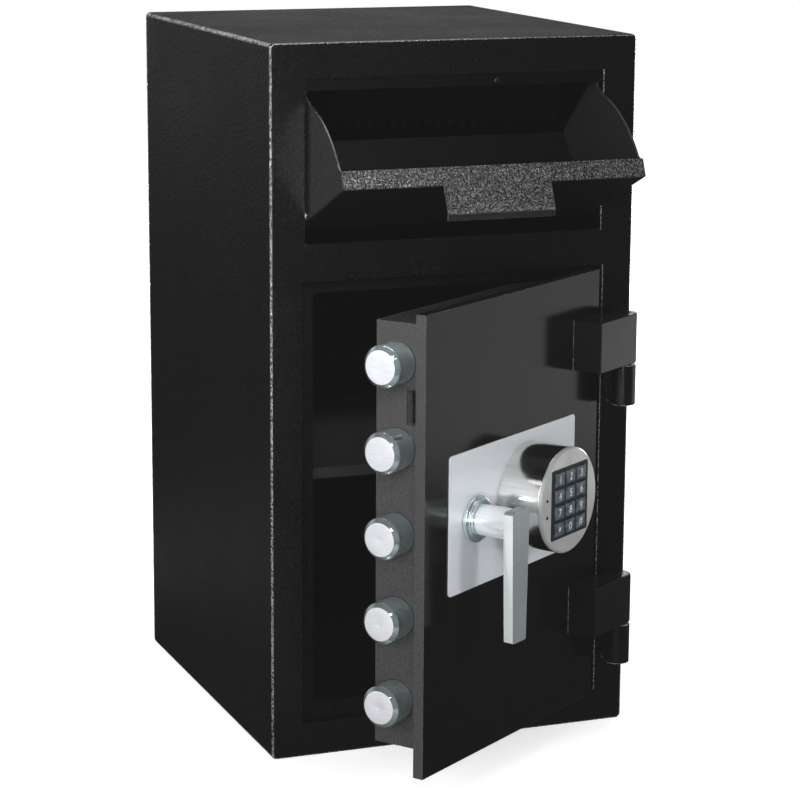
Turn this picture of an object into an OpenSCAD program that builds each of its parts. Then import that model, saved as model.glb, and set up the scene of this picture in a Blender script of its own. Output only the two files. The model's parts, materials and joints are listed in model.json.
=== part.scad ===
// Front-loading deposit safe: a tilting hopper over a hinged door with five round bolts.
// Every module is drawn in cabinet coordinates: X from the left side, Y back from the front
// face and Z up from the floor. in_frame() then moves the origin to the middle of the base.

/* [Cabinet] */
// Width of the cabinet
body_w = 370; // [352:1:400]
// Depth of the cabinet
body_d = 406; // [360:1:480]
// Height of the cabinet
body_h = 686; // [600:1:800]
// Thickness of the wrap, the front frame and the back
sheet_t = 3; // [2.5:0.5:4]
// Outside radius of the bent corners
bend_r = 5; // [4.5:0.5:8]
// Chamfer along the outer edges of the front face
edge_c = 1.5; // [0.5:0.5:2]

/* [Front face] */
// Width of the face beside the door recess
side_flange = 31; // [29:0.5:34]
// Height of the face below the door recess
foot_flange = 33; // [28:1:40]
// Height of the band between the door and the hopper
band_h = 35; // [30:1:45]
// Height of the hopper opening
mouth_h = 153.5; // [140:0.5:165]
// Height of the face above the hopper opening
header_h = 33.5; // [28:0.5:40]
// Width of the face beside the hopper opening
mouth_flange = 34; // [32:0.5:40]

/* [Anchoring] */
// Distance between the anchor holes across the width
anchor_w = 240; // [180:5:280]
// Distance between the anchor holes along the depth
anchor_d = 270; // [200:5:300]
// Diameter of an anchor hole
anchor_hole = 13; // [9:0.5:18]

/* [Door jamb] */
// Ledge behind the door at the bolt side
ledge_bolt = 15; // [13:0.5:15]
// Ledge behind the door at the hinge side
ledge_hinge = 15; // [13:0.5:16]
// Ledge behind the door at the sill
ledge_sill = 17; // [12:0.5:17]
// Ledge behind the door at the head
ledge_head = 13; // [10:0.5:14]
// Thickness of the ledge
ledge_t = 4; // [3:0.5:5]
// Air between the closed door and its ledge
ledge_gap = 1; // [0.5:0.1:1.5]
// Width of the bar that the bolts seat behind
strike_w = 12; // [8:1:14]
// Air between a thrown bolt and the strike bar
strike_gap = 0.4; // [0.3:0.1:1]

/* [Door] */
// Thickness of the door plate
plate_t = 10.5; // [8:0.5:12]
// Air round the door plate
plate_gap = 1.5; // [1:0.1:2]
// Angle at which the door stands ajar
door_open = 35; // [15:1:100]
// Inset of the bolt box from the door's free edge
box_in_free = 25.5; // [25:0.5:30]
// Inset of the bolt box from the door's hinge edge
box_in_hinge = 19.5; // [17:0.5:24]
// Air between the bolt box and the sill
box_air = 1.5; // [1.5:0.5:4]
// Depth of the bolt box behind the plate
box_depth = 59; // [58:0.5:60]
// Thickness of the box walls
box_t = 2; // [1.5:0.5:3]
// Reach of the dead bar past the box
dead_reach = 13; // [8:0.5:13]
// Height of the dead bar
dead_h = 270; // [150:5:340]
// Thickness of the dead bar
dead_t = 12; // [8:1:14]

/* [Hinges] */
// Radius of the hinge knuckles
knuckle_r = 12; // [11:0.5:13]
// Radius of a hinge pin
hinge_pin_r = 6; // [4:0.5:7]
// Distance of the hinge pin from the side of the cabinet
pin_in = 15; // [14:0.5:17]
// Distance of the hinge pin in front of the face
pin_out = 19; // [17:0.5:20]
// Height of the lower barrel's foot above the door recess's sill
barrel_rise = 34; // [20:1:60]
// Distance of the upper barrel's foot below the recess's head
barrel_drop = 135; // [120:1:150]
// Height of a barrel
barrel_h = 40; // [30:1:48]
// Height of a leaf
leaf_h = 49; // [35:1:55]
// Length of a leaf over the door plate
leaf_w = 48.5; // [35:0.5:60]
// Thickness of a thrust washer
washer_t = 1.5; // [1:0.1:3]
// Running clearance of the hinge pin in its leaf
pin_run = 0.05; // [0.02:0.01:0.09]

/* [Bolt work] */
// Number of round bolts
bolt_n = 5; // [3:1:5]
// Radius of a bolt
bolt_r = 19.5; // [16:0.5:19.5]
// Distance of the top bolt's axis below the top of the box
bolt_top_in = 37; // [34:0.5:50]
// Distance of the bottom bolt's axis above the foot of the box
bolt_foot_in = 43.5; // [34:0.5:60]
// Length of a bolt
bolt_len = 48; // [42:0.5:50]
// Reach of a thrown bolt past the box
bolt_out = 28; // [22:0.5:28]
// Distance of the bolt axes behind the door's face
bolt_y = 47; // [46:0.1:47.4]
// Chamfer on a bolt's nose
nose_c = 4; // [1:0.5:5]
// Running clearance of a bolt in the guide bar
bolt_run = 0.05; // [0.02:0.01:0.09]
// Thickness of the guide bar
guide_t = 8; // [5:0.5:9]
// Thickness of the bar that carries the bolts
carry_t = 8; // [5:0.5:10]
// Handle angle that draws the bolts
handle_turn = 50; // [40:1:60]
// Radius of the crank pin
crank_pin_r = 4; // [3:0.5:5]
// Clearance of the crank pin in its slot
slot_play = 0.4; // [0.35:0.05:0.8]

/* [Lock and keypad] */
// Width of the lock trim plate
trim_w = 222; // [200:1:228]
// Height of the lock trim plate
trim_h = 131; // [120:1:150]
// Thickness of the lock trim plate
trim_t = 1.5; // [1:0.1:3]
// Distance of the trim plate from the door's free edge
trim_x = 38.5; // [30:0.5:44]
// Height of the trim plate's middle above the door's middle
trim_rise = 14; // [-20:1:30]
// Radius of the round keypad housing
pad_r = 50; // [48:0.5:54]
// Reach of the keypad in front of the door plate
pad_out = 49; // [40:1:60]
// Keypad centre from the trim plate's left edge
pad_x = 132; // [125:0.5:160]
// Keypad centre above the trim plate's middle
pad_rise = 5.5; // [-4:0.5:8]
// Ledge that the key panel rests on
pad_wall = 2; // [1:0.5:2.5]
// Thickness of the keypad's front disc
pad_face_t = 4; // [3:0.5:6]
// Width of the dark key panel
panel_w = 65; // [62:0.5:68]
// Height of the dark key panel
panel_h = 66.4; // [64:0.2:68]
// Distance between key columns
key_px = 19.2; // [18:0.1:20]
// Distance between key rows
key_pz = 15.8; // [15:0.1:16.4]
// Width of a key
key_w = 16; // [13:0.5:16.5]
// Height of a key
key_h = 12.8; // [10:0.1:13.2]
// Travel of a key
key_travel = 1.2; // [0.6:0.1:1.8]
// Clearance round a key
key_gap = 0.4; // [0.3:0.05:0.6]
// Reach of the withdrawn lock bolt when it blocks the bolt work
lock_throw = 9.5; // [8:0.5:11]

/* [Handle] */
// Handle spindle from the trim plate's left edge
spindle_x = 43.5; // [38:0.5:50]
// Radius of the spindle
spindle_r = 6; // [5:0.5:8]
// Running clearance of the spindle in its rose
spindle_run = 0.05; // [0.02:0.01:0.09]
// Radius of the rose
rose_r = 22; // [20:0.5:26]
// Thickness of the rose
rose_t = 7.5; // [5:0.5:10]
// Radius of the lever's shank
shank_r = 14.5; // [14:0.5:18]
// Reach of the lever in front of the door plate
lever_out = 50.5; // [40:0.5:60]
// Thickness of the lever at its head
lever_t = 10; // [9:0.5:14]
// Thickness of the lever at its tip
lever_tip_t = 9.5; // [6:0.5:10]
// Width of the lever at its head
lever_w = 29; // [26:0.5:34]
// Width of the lever at its tip
lever_tip_w = 23; // [20:0.5:28]
// Length of the lever below the spindle
lever_len = 109; // [90:1:125]

/* [Hopper] */
// Thickness of the hopper's sheets
hopper_t = 2; // [1.5:0.5:2.5]
// Air between the hopper and the sides of its opening
hopper_gap = 2; // [1.5:0.5:3]
// Angle through which the hopper tilts open
hopper_open = 67; // [60:1:70]
// Height of the hopper pivot above the opening's lower edge
pivot_rise = 25.5; // [24.5:0.5:27]
// Distance of the hopper pivot behind the hopper's front
pivot_in = 6.5; // [6:0.5:8]
// Setback of the closed hopper from the front face
hopper_setback = 1; // [0.5:0.5:1.5]
// Height of the header strip that shows above the shut hopper
header_show = 11.5; // [8:0.5:16]
// Thickness of the lip and its pull tab
lip_t = 3; // [2:0.5:4]
// Depth of the lip behind the hopper's front
lip_in = 17.5; // [12:0.5:18]
// Width of the pull tab
tab_w = 106; // [80:1:140]
// Length of the pull tab
tab_len = 27; // [18:1:34]
// Length of the tab's turned-down end
tab_end = 7; // [4:0.5:10]
// Angle of the tab's turned-down end
tab_bend = 40; // [20:5:60]
// Radius of the hopper's pivot pins
pivot_r = 4; // [3:0.5:4]
// Slope of the tray with the hopper shut
tray_slope = 20; // [16:1:22]
// Depth of the tray below the pivot
tray_drop = 12; // [10:1:14]
// Length of the tray
tray_len = 94; // [80:1:96]
// Number of teeth on the anti-fishing baffle
teeth_n = 24; // [12:1:36]
// Height of a baffle tooth
tooth_h = 10; // [5:1:14]

/* [Inside] */
// Height of the shelf's upper face above the floor
shelf_z = 265.5; // [180:0.5:330]
// Thickness of the shelf
shelf_t = 2; // [1.5:0.5:3]
// Height of the shelf's turned-down front
shelf_lip = 11; // [8:1:20]
// Thickness of the floor between the hopper and the vault
drop_floor_t = 3; // [2:0.5:4]
// Depth of that floor, from the front face to the drop slot
drop_floor_d = 120; // [110:1:150]
// Height of its turned-down edge at the drop slot
drop_floor_lip = 20; // [10:1:30]
// Size of a shelf bracket
lug = 22; // [15:1:30]
// Distance of the shelf brackets from the shelf's ends
lug_in = 25; // [10:1:60]
// Width of a tray bumper
bumper_w = 20; // [10:1:30]
// Depth of a tray bumper
bumper_d = 12; // [8:1:16]
// Distance of the tray bumpers from the tray's outer end
bumper_in = 18; // [12:1:30]
// Distance of the tray bumpers from the tray's sides
bumper_side = 38; // [10:1:100]

/* [Hidden] */
KEY_NAMES = [
    "key_1", "key_2", "key_3", "key_4", "key_5", "key_6", "key_7", "key_8", "key_9",
    "key_star", "key_0", "key_hash"
];
BOLT_NAMES = ["bolt_1", "bolt_2", "bolt_3", "bolt_4", "bolt_5"];
$fn = 64;

// Small clearances and overlaps that cuts use
cut = 1;
part_gap = 0.3;

// Paint and metal colours of the object
coat = "#1f2021";
coat_grey = "#3b3c3b";
steel = "#c9ccd0";
zinc = "#9a9c9e";
dark_panel = "#2b3040";

// Door recess and the clear opening inside its ledge
recess_x0 = side_flange;
recess_x1 = body_w - side_flange;
mouth_z1 = body_h - header_h;
mouth_z0 = mouth_z1 - mouth_h;
recess_z0 = foot_flange;
recess_z1 = mouth_z0 - band_h;
clear_x0 = recess_x0 + ledge_bolt;
clear_x1 = recess_x1 - ledge_hinge;
clear_z0 = recess_z0 + ledge_sill;
clear_z1 = recess_z1 - ledge_head;
ledge_y = plate_t + ledge_gap;
jamb_back = ledge_y + ledge_t;

// Hopper opening
mouth_x0 = mouth_flange;
mouth_x1 = body_w - mouth_flange;

// Door plate and the box behind it, with the door shut
plate_x0 = recess_x0 + plate_gap;
plate_x1 = recess_x1 - plate_gap;
plate_z0 = recess_z0 + plate_gap;
plate_z1 = recess_z1 - plate_gap;
door_mid_z = (plate_z0 + plate_z1) / 2;
box_x0 = plate_x0 + box_in_free;
box_x1 = plate_x1 - box_in_hinge;
box_z0 = clear_z0 + box_air;
box_z1 = clear_z1 - 2 * box_air;
box_y1 = plate_t + box_depth;
cover_y = box_y1 - box_t;
dead_y = jamb_back + 7.5;

// Hinge line
pin_x = body_w - pin_in;
pin_y = -pin_out;
leaf_gap = barrel_h + washer_t + part_gap;
hinge_feet = [recess_z0 + barrel_rise, recess_z1 - barrel_drop];

// Bolt work
bolt_pitch = (box_z1 - box_z0 - bolt_top_in - bolt_foot_in) / (bolt_n - 1);
bolt_mid_z = (box_z0 + bolt_foot_in + box_z1 - bolt_top_in) / 2;
bolt_tip_x = box_x0 - bolt_out;
bolt_travel = bolt_out + 0.5;
carry_x0 = bolt_tip_x + bolt_len;
crank_r = bolt_travel / 2 / sin(handle_turn / 2);
crank_y = plate_t + 5.5;
crank_t = 6;
drive_y = crank_y + crank_t + 2;
drive_t = 5;
carry_y1 = bolt_y + 15;
carry_over = 11;
slot_h = 32;
slot_w = 17;

// Trim plate, keypad and handle
trim_x0 = plate_x0 + trim_x;
trim_z0 = door_mid_z + trim_rise - trim_h / 2;
trim_mid_z = trim_z0 + trim_h / 2;
pad_cx = trim_x0 + pad_x;
pad_cz = trim_mid_z + pad_rise;
spin_x = trim_x0 + spindle_x;
spin_z = trim_mid_z;
rose_y = -trim_t - rose_t;
lever_back = lever_t - lever_out;
panel_proud = 0.5;
key_proud = 1.8;
key_depth = 5;
well_t = 6;
screw_r = 2;
block_w = 10;

// Lock case below the arm of the drive plate
case_w = 62;
case_h = 84;
case_t = 28;
case_x0 = pad_cx - case_w / 2;
case_z1 = spin_z + 48.5;
lock_bolt_w = 16;
lock_bolt_t = 9.4;
lock_bolt_h = 30;
lock_bolt_x0 = case_x0 + 20;
lock_bolt_y0 = drive_y + drive_t / 2 - lock_bolt_t / 2;
arm_z0 = case_z1 + 4;
arm_h = 12;

// Hopper, drawn shut about its pivot
hopper_x0 = mouth_x0 + hopper_gap;
hopper_x1 = mouth_x1 - hopper_gap;
pivot_y = hopper_setback + pivot_in;
pivot_z = mouth_z0 + pivot_rise;
header_z0 = mouth_z1 - header_show;
lip_swing = header_z0 - pivot_z - 2;
lip_r = sqrt(lip_swing * lip_swing - (lip_in - pivot_in) * (lip_in - pivot_in));
horn_r = header_z0 - pivot_z + 2.5;
horn_y = 2 * sheet_t + part_gap - pivot_y;
tray_start = [hopper_t - pivot_in, -tray_drop];
tray_end = tray_start + tray_len * [cos(tray_slope), -sin(tray_slope)];
baffle_y = pivot_y + turned(tray_end, hopper_open)[0] + 7;
baffle_z0 = pivot_z + turned(tray_end, hopper_open)[1] + 7.5;
drop_floor_z = recess_z1 + sheet_t + 1;
bracket_t = 4;
bracket_h = 18;
bracket_r = 8;
header_lap = 8;
header_up = 12;
cheek_mid = [-21.6, lip_r - lip_t - 139.1];
cheek_r = 139.8;

// Shelf
shelf_y0 = box_y1 + 8.5;
shelf_y1 = body_d - sheet_t - 12;

module in_frame() {
    translate([-body_w / 2, -body_d / 2, 0]) children();
}

// Puts door parts, drawn with the door shut, at the angle at which it stands ajar
module on_door() {
    in_frame() translate([pin_x, pin_y, 0]) rotate([0, 0, door_open])
        translate([-pin_x, -pin_y, 0]) children();
}

// Puts hopper parts, drawn shut about the pivot, at the angle at which it stands open
module on_hopper() {
    in_frame() translate([0, pivot_y, pivot_z]) rotate([hopper_open, 0, 0]) children();
}

// Extrudes a front-view outline from y0 back by t
module slab(y0, t) {
    translate([0, y0 + t, 0]) rotate([90, 0, 0]) linear_extrude(t) children();
}

// Extrudes a side-view outline from x0 to the right by t
module plank(x0, t) {
    translate([x0, 0, 0]) rotate([90, 0, 90]) linear_extrude(t) children();
}

// Round rod along Y, from y0 to y1, about a point of the front view
module rod(x, z, y0, y1, r) {
    translate([x, y1, z]) rotate([90, 0, 0]) cylinder(r = r, h = y1 - y0);
}

// Round rod along X, from x0 to x1
module axle(x0, x1, y, z, r) {
    translate([x0, y, z]) rotate([0, 90, 0]) cylinder(r = r, h = x1 - x0);
}

module rect(x0, z0, x1, z1) {
    translate([x0, z0]) square([x1 - x0, z1 - z0]);
}

module round_rect(x0, z0, x1, z1, r) {
    rect(x0 + r, z0, x1 - r, z1);
    rect(x0, z0 + r, x1, z1 - r);
    for (x = [x0 + r, x1 - r], z = [z0 + r, z1 - r]) translate([x, z]) circle(r);
}

// Points of an arc, for outlines
function arc(c, r, a0, a1, n = 6) =
    [for (i = [0:n]) c + r * [cos(a0 + (a1 - a0) * i / n), sin(a0 + (a1 - a0) * i / n)]];

// A point of the hopper's side view, turned about the pivot
function turned(p, a) = [p[0] * cos(a) - p[1] * sin(a), p[0] * sin(a) + p[1] * cos(a)];

// Cabinet

module body_wrap() {
    color(coat) in_frame() difference() {
        slab(sheet_t, body_d - 2 * sheet_t) difference() {
            round_rect(0, 0, body_w, body_h, bend_r);
            round_rect(sheet_t, sheet_t, body_w - sheet_t, body_h - sheet_t, bend_r - sheet_t);
        }
        for (x = [-1, 1], y = [-1, 1])
            translate([body_w / 2 + x * anchor_w / 2, body_d / 2 + y * anchor_d / 2, -cut])
                cylinder(d = anchor_hole, h = sheet_t + 2 * cut);
    }
}

module back_panel() {
    color(coat) in_frame() slab(body_d - sheet_t, sheet_t)
        round_rect(0, 0, body_w, body_h, bend_r);
}

module front_frame() {
    color(coat) in_frame() difference() {
        hull() {
            slab(edge_c, sheet_t - edge_c) round_rect(0, 0, body_w, body_h, bend_r, $fn = 32);
            slab(0, edge_c / 2) round_rect(
                edge_c, edge_c, body_w - edge_c, body_h - edge_c, bend_r - edge_c, $fn = 32
            );
        }
        slab(-cut, sheet_t + 2 * cut) rect(recess_x0, recess_z0, recess_x1, recess_z1);
        slab(-cut, sheet_t + 2 * cut) rect(mouth_x0, mouth_z0, mouth_x1, mouth_z1);
    }
}

module door_jamb() {
    color(coat) in_frame() difference() {
        slab(sheet_t, jamb_back - sheet_t) rect(
            recess_x0 - sheet_t, recess_z0 - sheet_t, recess_x1 + sheet_t, recess_z1 + sheet_t
        );
        slab(0, ledge_y) rect(recess_x0, recess_z0, recess_x1, recess_z1);
        slab(0, jamb_back + cut) rect(clear_x0, clear_z0, clear_x1, clear_z1);
    }
}

module strike_bar() {
    color(coat) in_frame() slab(jamb_back, bolt_y - bolt_r - strike_gap - jamb_back)
        rect(clear_x0 - strike_w, clear_z0 + 10, clear_x0, clear_z1 - 10);
}

module deposit_floor() {
    color(coat) in_frame() {
        translate([sheet_t, sheet_t, drop_floor_z])
            cube([body_w - 2 * sheet_t, drop_floor_d - sheet_t, drop_floor_t]);
        translate([sheet_t, drop_floor_d - drop_floor_t, drop_floor_z - drop_floor_lip])
            cube([body_w - 2 * sheet_t, drop_floor_t, drop_floor_lip + drop_floor_t]);
    }
}

module hopper_header() {
    color(coat) in_frame() slab(sheet_t, sheet_t)
        rect(mouth_x0 - header_lap, header_z0, mouth_x1 + header_lap, mouth_z1 + header_up);
}

module hopper_brackets() {
    straight = bracket_h - bracket_r;
    color(coat) in_frame() for (x = [mouth_x0 - bracket_t, mouth_x1]) difference() {
        plank(x, bracket_t) {
            rect(sheet_t, pivot_z - bracket_h, pivot_y + bracket_r, pivot_z + bracket_h);
            rect(sheet_t, pivot_z - straight, pivot_y + 2 * bracket_r, pivot_z + straight);
            for (z = [-straight, straight]) translate([pivot_y + bracket_r, pivot_z + z])
                circle(bracket_r);
        }
        axle(x - cut, x + bracket_t + cut, pivot_y, pivot_z, pivot_r + pin_run);
    }
}

module anti_fish_baffle() {
    x0 = hopper_x0 + hopper_t + 3;
    x1 = hopper_x1 - hopper_t - 3;
    pitch = (x1 - x0) / teeth_n;
    color(coat) in_frame() {
        slab(baffle_y, hopper_t) {
            rect(x0, baffle_z0 + tooth_h, x1, body_h - sheet_t);
            for (i = [0:teeth_n - 1]) polygon([
                [x0 + i * pitch, baffle_z0 + tooth_h + 0.5],
                [x0 + i * pitch, baffle_z0 + tooth_h],
                [x0 + (i + 0.5) * pitch, baffle_z0],
                [x0 + (i + 1) * pitch, baffle_z0 + tooth_h],
                [x0 + (i + 1) * pitch, baffle_z0 + tooth_h + 0.5]
            ]);
        }
        translate([x0, baffle_y, body_h - sheet_t - hopper_t])
            cube([x1 - x0, 24, hopper_t]);
    }
}

// Rubber blocks that the tray comes down on when the hopper shuts
module tray_bumpers() {
    y1 = pivot_y + tray_end[0] - bumper_in;
    z1 = pivot_z + tray_end[1] + bumper_in * tan(tray_slope) - hopper_t / cos(tray_slope) - part_gap;
    z0 = drop_floor_z + drop_floor_t;
    x0 = hopper_x0 + hopper_t + bumper_side;
    x1 = hopper_x1 - hopper_t - bumper_side - bumper_w;
    color("#222222") in_frame() for (x = [x0, x1])
        translate([x, y1 - bumper_d, z0]) cube([bumper_w, bumper_d, z1 - z0]);
}

module shelf() {
    x0 = sheet_t + 0.5;
    w = body_w - 2 * x0;
    color(coat) in_frame() {
        translate([x0, shelf_y0, shelf_z - shelf_t]) cube([w, shelf_y1 - shelf_y0, shelf_t]);
        translate([x0, shelf_y0, shelf_z - shelf_lip]) cube([w, shelf_t, shelf_lip]);
        translate([x0, shelf_y1 - shelf_t, shelf_z - shelf_lip]) cube([w, shelf_t, shelf_lip]);
    }
}

// Angle lugs on the side walls, which carry the shelf
module shelf_brackets() {
    color(coat) in_frame() for (y = [shelf_y0 + lug_in, shelf_y1 - lug_in - lug]) {
        for (side = [0, 1]) translate([side * body_w, y, shelf_z - shelf_t]) mirror([side, 0, 0]) {
            translate([sheet_t, 0, -lug]) cube([shelf_t, lug, lug]);
            translate([sheet_t, 0, -shelf_t]) cube([lug, lug, shelf_t]);
        }
    }
}

// Barrel with its welded foot against the front face
module hinge_barrel(z) {
    color(coat) in_frame() difference() {
        translate([0, 0, z]) linear_extrude(barrel_h) {
            translate([pin_x, pin_y]) circle(knuckle_r);
            rect(pin_x - knuckle_r + 3, pin_y, pin_x + knuckle_r - 3, 0);
        }
        translate([pin_x, pin_y, z + 6]) cylinder(r = hinge_pin_r, h = barrel_h);
    }
}

module hinge_pins() {
    color(steel) in_frame() for (z = hinge_feet) translate([pin_x, pin_y, z + 6])
        cylinder(r = hinge_pin_r, h = leaf_gap + leaf_h - 6 - 9);
}

module hinge_washers() {
    color("#b59a54") in_frame() for (z = hinge_feet) translate([pin_x, pin_y, z + barrel_h])
        difference() {
            cylinder(r = knuckle_r - 1, h = washer_t);
            translate([0, 0, -cut]) cylinder(r = hinge_pin_r + 0.2, h = washer_t + 2 * cut);
        }
}

// Hopper

module hopper_plate() {
    color(coat) on_hopper() plank(hopper_x0, hopper_x1 - hopper_x0)
        rect(-pivot_in, 3.5 - pivot_rise, hopper_t - pivot_in, lip_r - lip_t);
}

// Lip with its pull tab, whose end is turned down
module hopper_lip() {
    mid = body_w / 2;
    z0 = lip_r - lip_t;
    bend = [-pivot_in - tab_len, lip_r];
    away = [-cos(tab_bend), -sin(tab_bend)];
    under = [sin(tab_bend), -cos(tab_bend)];
    color("#5c5c5c") on_hopper() {
        plank(hopper_x0, hopper_x1 - hopper_x0) rect(-pivot_in, z0, lip_in - pivot_in, lip_r);
        plank(mid - tab_w / 2, tab_w) polygon([
            [-pivot_in + 1, z0], [-pivot_in + 1, lip_r], bend, bend + tab_end * away,
            bend + tab_end * away + lip_t * under, [bend[0] + lip_t * tan(tab_bend / 2), z0]
        ]);
    }
}

// Side of the hopper, with the horn that stops behind the header
module hopper_cheek(x) {
    top = lip_r - lip_t;
    color(coat) on_hopper() difference() {
        plank(x, hopper_t) polygon(concat(
            [[hopper_t - pivot_in, 3.5 - pivot_rise], [hopper_t - pivot_in, top]],
            [[lip_in - pivot_in, top]], arc(cheek_mid, cheek_r, 74.8, 36.4, 12),
            [for (p = [[0, -7], [0, 0], [11, 0]]) turned([horn_y, horn_r] + p, -hopper_open)],
            [tray_end + [hopper_t, 0]]
        ));
        axle(x - cut, x + hopper_t + cut, 0, 0, pivot_r);
    }
}

module hopper_tray() {
    drop = [0, hopper_t / cos(tray_slope)];
    color(coat) on_hopper() plank(hopper_x0 + hopper_t, hopper_x1 - hopper_x0 - 2 * hopper_t)
        polygon([tray_start, tray_end, tray_end - drop, tray_start - drop]);
}

// Pins welded to the cheeks, which turn in the brackets
module hopper_pivot_pins() {
    color(zinc) on_hopper() {
        axle(mouth_x0 - bracket_t - 2, hopper_x0 + hopper_t, 0, 0, pivot_r);
        axle(hopper_x1 - hopper_t, mouth_x1 + bracket_t + 2, 0, 0, pivot_r);
    }
}

// Door

function bolt_z(i) = bolt_mid_z + bolt_pitch * ((bolt_n - 1) / 2 - i);

// Places of the cover's screws, and of the nut blocks along the top and bottom of the box
screw_xz = [
    for (x = [carry_x0 - 3, (box_x0 + box_x1) / 2, box_x1 - 18])
        for (z = [box_z0 + box_t + block_w / 2, box_z1 - box_t - block_w / 2]) [x, z]
];

module door_plate() {
    color(coat_grey) on_door() difference() {
        slab(0, plate_t) rect(plate_x0, plate_z0, plate_x1, plate_z1);
        rod(spin_x, spin_z, -cut, plate_t + cut, spindle_r + 2);
        rod(pad_cx, pad_cz, -cut, plate_t + cut, 6);
    }
}

// Slot in the free side of the box and of the guide bar, between the two upper bolts
module side_slot(x0, x1) {
    translate([x0, plate_t + 9.5, bolt_z(0) - bolt_pitch / 2 - slot_h / 2])
        cube([x1 - x0, slot_w, slot_h]);
}

module bolt_box() {
    color(coat_grey) on_door() difference() {
        slab(plate_t, cover_y - plate_t) {
            difference() {
                rect(box_x0, box_z0, box_x1, box_z1);
                rect(box_x0 + box_t, box_z0 + box_t, box_x1 - box_t, box_z1 - box_t);
            }
            for (p = screw_xz) translate(p) square(block_w, center = true);
        }
        for (i = [0:bolt_n - 1])
            axle(box_x0 - cut, box_x0 + box_t + cut, bolt_y, bolt_z(i), bolt_r + 0.5);
        side_slot(box_x0 - cut, box_x0 + box_t + cut);
        for (p = screw_xz) rod(p[0], p[1], cover_y - 14, cover_y + cut, screw_r);
    }
}

module bolt_guide_bar() {
    x0 = box_x0 + box_t;
    color(zinc) on_door() difference() {
        slab(plate_t, cover_y - plate_t) rect(x0, box_z0 + box_t, x0 + guide_t, box_z1 - box_t);
        for (i = [0:bolt_n - 1])
            axle(x0 - cut, x0 + guide_t + cut, bolt_y, bolt_z(i), bolt_r + bolt_run);
        side_slot(x0 - cut, x0 + guide_t + cut);
    }
}

module box_cover() {
    color(coat_grey) on_door() difference() {
        slab(cover_y, box_t) rect(box_x0, box_z0, box_x1, box_z1);
        for (p = screw_xz) rod(p[0], p[1], cover_y - cut, box_y1 + cut, screw_r + 0.25);
    }
}

module box_cover_screws() {
    color(zinc) on_door() for (p = screw_xz) {
        rod(p[0], p[1], cover_y - 10, box_y1, screw_r);
        rod(p[0], p[1], box_y1, box_y1 + 2.2, screw_r + 2);
    }
}

// Heavy leaf on the door, which wraps the pin
module hinge_leaf(z) {
    color(coat) on_door() difference() {
        translate([0, 0, z + leaf_gap]) linear_extrude(leaf_h) {
            rect(plate_x1 - leaf_w, pin_y - knuckle_r, plate_x1, 0);
            rect(plate_x1 - cut, pin_y - knuckle_r, pin_x, pin_y + knuckle_r);
            translate([pin_x, pin_y]) circle(knuckle_r);
        }
        translate([pin_x, pin_y, z + leaf_gap - cut])
            cylinder(r = hinge_pin_r + pin_run, h = leaf_h - 8 + cut);
    }
}

module dead_bar() {
    color(zinc) on_door() slab(dead_y, dead_t) rect(
        box_x1, bolt_mid_z - dead_h / 2, box_x1 + dead_reach, bolt_mid_z + dead_h / 2
    );
}

module lock_trim_plate() {
    color(steel) on_door() difference() {
        slab(-trim_t, trim_t)
            round_rect(trim_x0, trim_z0, trim_x0 + trim_w, trim_z0 + trim_h, 4);
        rod(spin_x, spin_z, -trim_t - cut, cut, spindle_r + 2);
        rod(pad_cx, pad_cz, -trim_t - cut, cut, 6);
    }
}

// Closed housing, with the well behind the panel that the keys move in
module keypad_housing() {
    y0 = pad_face_t - pad_out;
    color(steel) on_door() difference() {
        rod(pad_cx, pad_cz, y0, -trim_t, pad_r);
        slab(y0 - cut, well_t + cut) panel_outline(-pad_wall);
    }
}

module panel_outline(grow = 0) {
    round_rect(
        pad_cx - panel_w / 2 - grow, pad_cz - panel_h / 2 - grow,
        pad_cx + panel_w / 2 + grow, pad_cz + panel_h / 2 + grow, 1.5
    );
}

function key_at(i) = [pad_cx + (i % 3 - 1) * key_px, pad_cz + (1.5 - floor(i / 3)) * key_pz];

led_xz = [for (dz = [7, -9]) [pad_cx - pad_r * 0.8, pad_cz + dz]];

module keypad_face() {
    color(steel) on_door() difference() {
        translate([pad_cx, pad_face_t - pad_out, pad_cz]) rotate([90, 0, 0]) {
            cylinder(r = pad_r, h = pad_face_t - 1.5);
            translate([0, 0, pad_face_t - 1.5]) cylinder(r1 = pad_r, r2 = pad_r - 1.5, h = 1.5);
        }
        slab(-pad_out - cut, pad_face_t + 2 * cut) panel_outline();
        for (p = led_xz) rod(p[0], p[1], -pad_out - cut, pad_face_t - pad_out - 1, 1.6);
    }
}

module keypad_panel() {
    color(dark_panel) on_door() slab(-pad_out - panel_proud, pad_face_t + panel_proud) difference() {
        panel_outline();
        for (i = [0:11]) translate(key_at(i))
            square([key_w + 2 * key_gap, key_h + 2 * key_gap], center = true);
    }
}

module led_lenses() {
    color("#35160f") on_door() for (p = led_xz)
        rod(p[0], p[1], -pad_out - 0.4, pad_face_t - pad_out - 1, 1.6);
}

module key_cap(i) {
    p = key_at(i);
    color(dark_panel) on_door() hull() {
        slab(-pad_out - key_proud + 0.6, key_depth) translate(p) square([key_w, key_h], center = true);
        slab(-pad_out - key_proud, key_depth) translate(p)
            square([key_w - 1.2, key_h - 1.2], center = true);
    }
}

module handle_rose() {
    color(steel) on_door() difference() {
        union() {
            rod(spin_x, spin_z, -trim_t - rose_t * 0.6, -trim_t, rose_r);
            rod(spin_x, spin_z, rose_y, -trim_t, rose_r - 2.5);
        }
        rod(spin_x, spin_z, rose_y - cut, -trim_t + cut, spindle_r + spindle_run);
    }
}

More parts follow.
